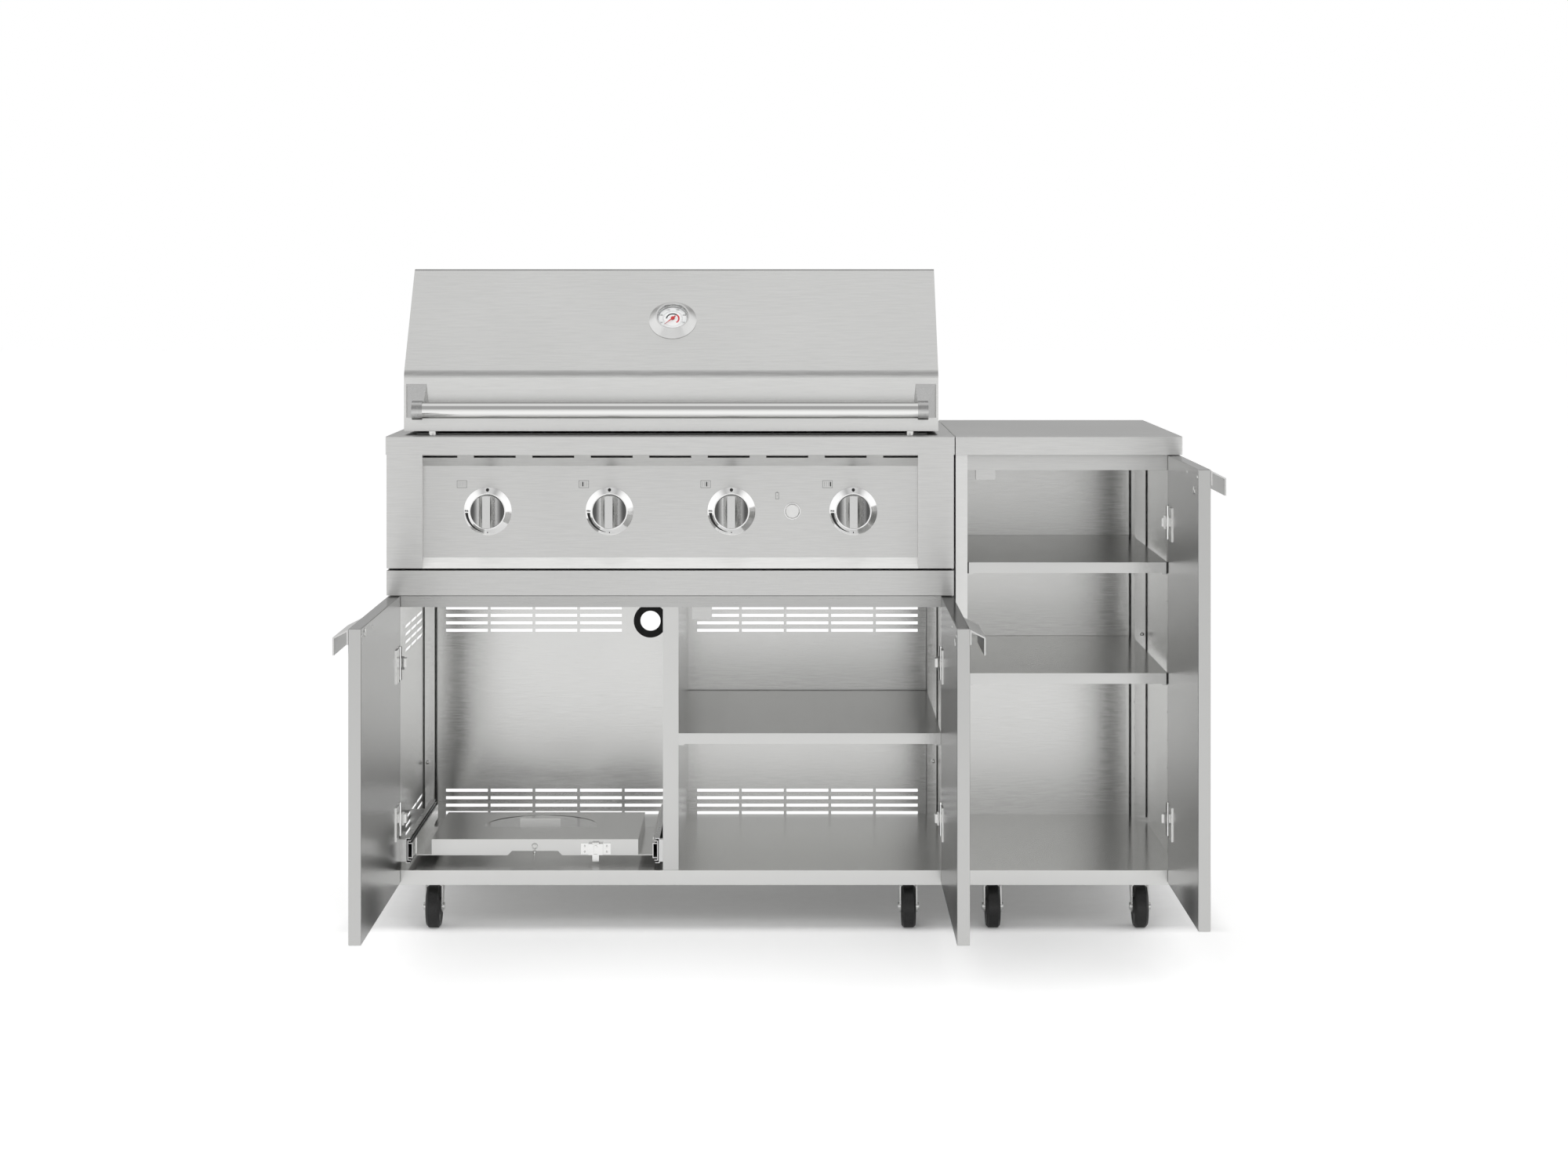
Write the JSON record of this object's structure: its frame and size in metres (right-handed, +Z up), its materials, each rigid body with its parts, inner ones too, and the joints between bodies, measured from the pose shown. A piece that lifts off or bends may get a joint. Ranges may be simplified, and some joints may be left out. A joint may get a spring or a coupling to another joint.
{
  "type": "barbecue island",
  "caption": "Stainless steel outdoor kitchen island on casters: hooded gas grill over a two-door cabinet with a gas bottle tray, beside a tall one-door storage cabinet.",
  "frame": {"origin": "on the floor under the middle of the island's box, doors open", "axes": "+X to the right along the front, +Y to the back, +Z up"},
  "size_m": [1.4712, 1.081, 1.188],
  "materials": {
    "stainless_sheet": "horizontal brushed grain",
    "stainless_inside": "bright rolled, faint grain",
    "bright_fittings": "bright zinc plate",
    "polished_trim": "polished",
    "knob_metal": "satin",
    "handle_steel": "brushed along the tube",
    "handle_castings": "silver paint",
    "grommet_rubber": "matt",
    "manifold_aluminium": "plain",
    "firebox_steel": "plain",
    "burner_steel": "plain",
    "grate_iron": "matt enamel",
    "rail_steel": "zinc plate",
    "dial_glass": "clear",
    "pointer_red": "satin paint",
    "button_plastic": "metallised",
    "wheel_plastic": "matt"
  },
  "bodies": {
    "cabinet": {"base_pans": "stainless_inside", "side_panels": "stainless_inside", "back_panels": "stainless_inside", "main_divider": "stainless_inside", "heat_shield": "stainless_inside", "front_rails": "stainless_sheet", "shelves": "stainless_inside", "hose_grommet": "grommet_rubber", "side_worktop": "stainless_sheet", "grill_deck": "stainless_sheet", "grill_casing": "stainless_sheet", "control_panel": "stainless_sheet", "panel_bezels": "polished_trim", "gas_manifold": "manifold_aluminium", "firebox": "firebox_steel", "burners": "burner_steel", "heat_plates": "burner_steel", "cooking_grates": "grate_iron", "warming_rack": "bright_fittings", "hood_fittings": "bright_fittings", "hinge_arms": "bright_fittings", "tray_rails_outer": "rail_steel", "caster_mounts": "bright_fittings"},
    "hood": {"hood_shell": "stainless_sheet", "hood_handle_tube": "handle_steel", "hood_handle_brackets": "handle_castings", "thermometer_case": "polished_trim", "thermometer_lens": "dial_glass"},
    "pointer": {"thermometer_pointer": "pointer_red"},
    "grease_drawer": {"grease_tray": "stainless_inside"},
    "bottle_tray": {"tank_tray": "stainless_inside", "tray_latch_case": "bright_fittings"},
    "latch_bolt": {"tray_latch_bolt": "bright_fittings"},
    "slide_middle": {"tray_rails_middle": "rail_steel"},
    "igniter": {"igniter_button": "button_plastic"},
    "left_door": {"left_door": "stainless_sheet", "left_door_pull": "stainless_sheet", "left_door_hinges": "bright_fittings"},
    "right_door": {"right_door": "stainless_sheet", "right_door_pull": "stainless_sheet", "right_door_hinges": "bright_fittings"},
    "side_door": {"side_door": "stainless_sheet", "side_door_pull": "stainless_sheet", "side_door_hinges": "bright_fittings"},
    "knob_1": {"knob_1": "knob_metal"},
    "knob_2": {"knob_2": "knob_metal"},
    "knob_3": {"knob_3": "knob_metal"},
    "knob_4": {"knob_4": "knob_metal"},
    "caster_1": {"caster_fork_1": "bright_fittings"},
    "front_wheel_1": {"front_wheel_1": "wheel_plastic"},
    "rear_wheel_1": {"rear_wheel_1": "wheel_plastic"},
    "caster_2": {"caster_fork_2": "bright_fittings"},
    "front_wheel_2": {"front_wheel_2": "wheel_plastic"},
    "rear_wheel_2": {"rear_wheel_2": "wheel_plastic"},
    "caster_3": {"caster_fork_3": "bright_fittings"},
    "front_wheel_3": {"front_wheel_3": "wheel_plastic"},
    "rear_wheel_3": {"rear_wheel_3": "wheel_plastic"},
    "caster_4": {"caster_fork_4": "bright_fittings"},
    "front_wheel_4": {"front_wheel_4": "wheel_plastic"},
    "rear_wheel_4": {"rear_wheel_4": "wheel_plastic"}
  },
  "joints": [
    {"name": "hood_hinge", "type": "hinge", "parent": "cabinet", "child": "hood", "pos_m": [-0.2035, 0.4785, 0.939], "axis": [-1, 0, 0], "range_deg": [0, 85]},
    {"name": "pointer_turn", "type": "hinge", "parent": "hood", "child": "pointer", "pos_m": [-0.2035, 0.0725, 1.094], "axis": [0, 0.7575, -0.6528], "range_deg": [0, 260]},
    {"name": "grease_slide", "type": "slide", "parent": "cabinet", "child": "grease_drawer", "axis": [0, 1, 0], "range_m": [0, 0.4]},
    {"name": "tray_slide", "type": "slide", "parent": "cabinet", "child": "bottle_tray", "axis": [0, -1, 0], "range_m": [0, 0.36]},
    {"name": "tray_middle_slide", "type": "slide", "parent": "cabinet", "child": "slide_middle", "axis": [0, -1, 0], "range_m": [0, 0.18]},
    {"name": "latch_slide", "type": "slide", "parent": "bottle_tray", "child": "latch_bolt", "axis": [0, 0, 1], "range_m": [-0.01, 0]},
    {"name": "igniter_push", "type": "slide", "parent": "cabinet", "child": "igniter", "axis": [0, 1, 0], "range_m": [0, 0.003], "stiffness_N_per_m": 300},
    {"name": "left_door_hinge", "type": "hinge", "parent": "cabinet", "child": "left_door", "pos_m": [-0.6995, -0.046, 0.34365], "axis": [0, 0, -1], "range_deg": [-90, 5]},
    {"name": "right_door_hinge", "type": "hinge", "parent": "cabinet", "child": "right_door", "pos_m": [0.2925, -0.046, 0.34365], "axis": [0, 0, 1], "range_deg": [-90, 5]},
    {"name": "side_door_hinge", "type": "hinge", "parent": "cabinet", "child": "side_door", "pos_m": [0.6995, -0.046, 0.4699], "axis": [0, 0, 1], "range_deg": [-90, 5]},
    {"name": "knob_1_turn", "type": "hinge", "parent": "cabinet", "child": "knob_1", "pos_m": [-0.53125, -0.0385, 0.754], "axis": [0, -1, 0], "range_deg": [0, 180]},
    {"name": "knob_2_turn", "type": "hinge", "parent": "cabinet", "child": "knob_2", "pos_m": [-0.31275, -0.0385, 0.754], "axis": [0, -1, 0], "range_deg": [0, 180]},
    {"name": "knob_3_turn", "type": "hinge", "parent": "cabinet", "child": "knob_3", "pos_m": [-0.09425, -0.0385, 0.754], "axis": [0, -1, 0], "range_deg": [0, 180]},
    {"name": "knob_4_turn", "type": "hinge", "parent": "cabinet", "child": "knob_4", "pos_m": [0.12425, -0.0385, 0.754], "axis": [0, -1, 0], "range_deg": [0, 180]},
    {"name": "caster_1_swivel", "type": "hinge", "parent": "cabinet", "child": "caster_1", "pos_m": [-0.6315, 0.0285, 0.1037], "axis": [0, 0, 1], "continuous": true},
    {"name": "front_wheel_1_roll", "type": "hinge", "parent": "caster_1", "child": "front_wheel_1", "pos_m": [-0.6315, 0.0005, 0.038], "axis": [1, 0, 0], "continuous": true},
    {"name": "rear_wheel_1_roll", "type": "hinge", "parent": "cabinet", "child": "rear_wheel_1", "pos_m": [-0.6315, 0.459, 0.038], "axis": [1, 0, 0], "continuous": true},
    {"name": "caster_2_swivel", "type": "hinge", "parent": "cabinet", "child": "caster_2", "pos_m": [0.2245, 0.0285, 0.1037], "axis": [0, 0, 1], "continuous": true},
    {"name": "front_wheel_2_roll", "type": "hinge", "parent": "caster_2", "child": "front_wheel_2", "pos_m": [0.2245, 0.0005, 0.038], "axis": [1, 0, 0], "continuous": true},
    {"name": "rear_wheel_2_roll", "type": "hinge", "parent": "cabinet", "child": "rear_wheel_2", "pos_m": [0.2245, 0.459, 0.038], "axis": [1, 0, 0], "continuous": true},
    {"name": "caster_3_swivel", "type": "hinge", "parent": "cabinet", "child": "caster_3", "pos_m": [0.3765, 0.0285, 0.1037], "axis": [0, 0, 1], "continuous": true},
    {"name": "front_wheel_3_roll", "type": "hinge", "parent": "caster_3", "child": "front_wheel_3", "pos_m": [0.3765, 0.0005, 0.038], "axis": [1, 0, 0], "continuous": true},
    {"name": "rear_wheel_3_roll", "type": "hinge", "parent": "cabinet", "child": "rear_wheel_3", "pos_m": [0.3765, 0.459, 0.038], "axis": [1, 0, 0], "continuous": true},
    {"name": "caster_4_swivel", "type": "hinge", "parent": "cabinet", "child": "caster_4", "pos_m": [0.6425, 0.0285, 0.1037], "axis": [0, 0, 1], "continuous": true},
    {"name": "front_wheel_4_roll", "type": "hinge", "parent": "caster_4", "child": "front_wheel_4", "pos_m": [0.6425, 0.0005, 0.038], "axis": [1, 0, 0], "continuous": true},
    {"name": "rear_wheel_4_roll", "type": "hinge", "parent": "cabinet", "child": "rear_wheel_4", "pos_m": [0.6425, 0.459, 0.038], "axis": [1, 0, 0], "continuous": true}
  ],
  "couplings": [
    {"joint": "tray_middle_slide", "follows": "tray_slide", "ratio": 0.5}
  ]
}
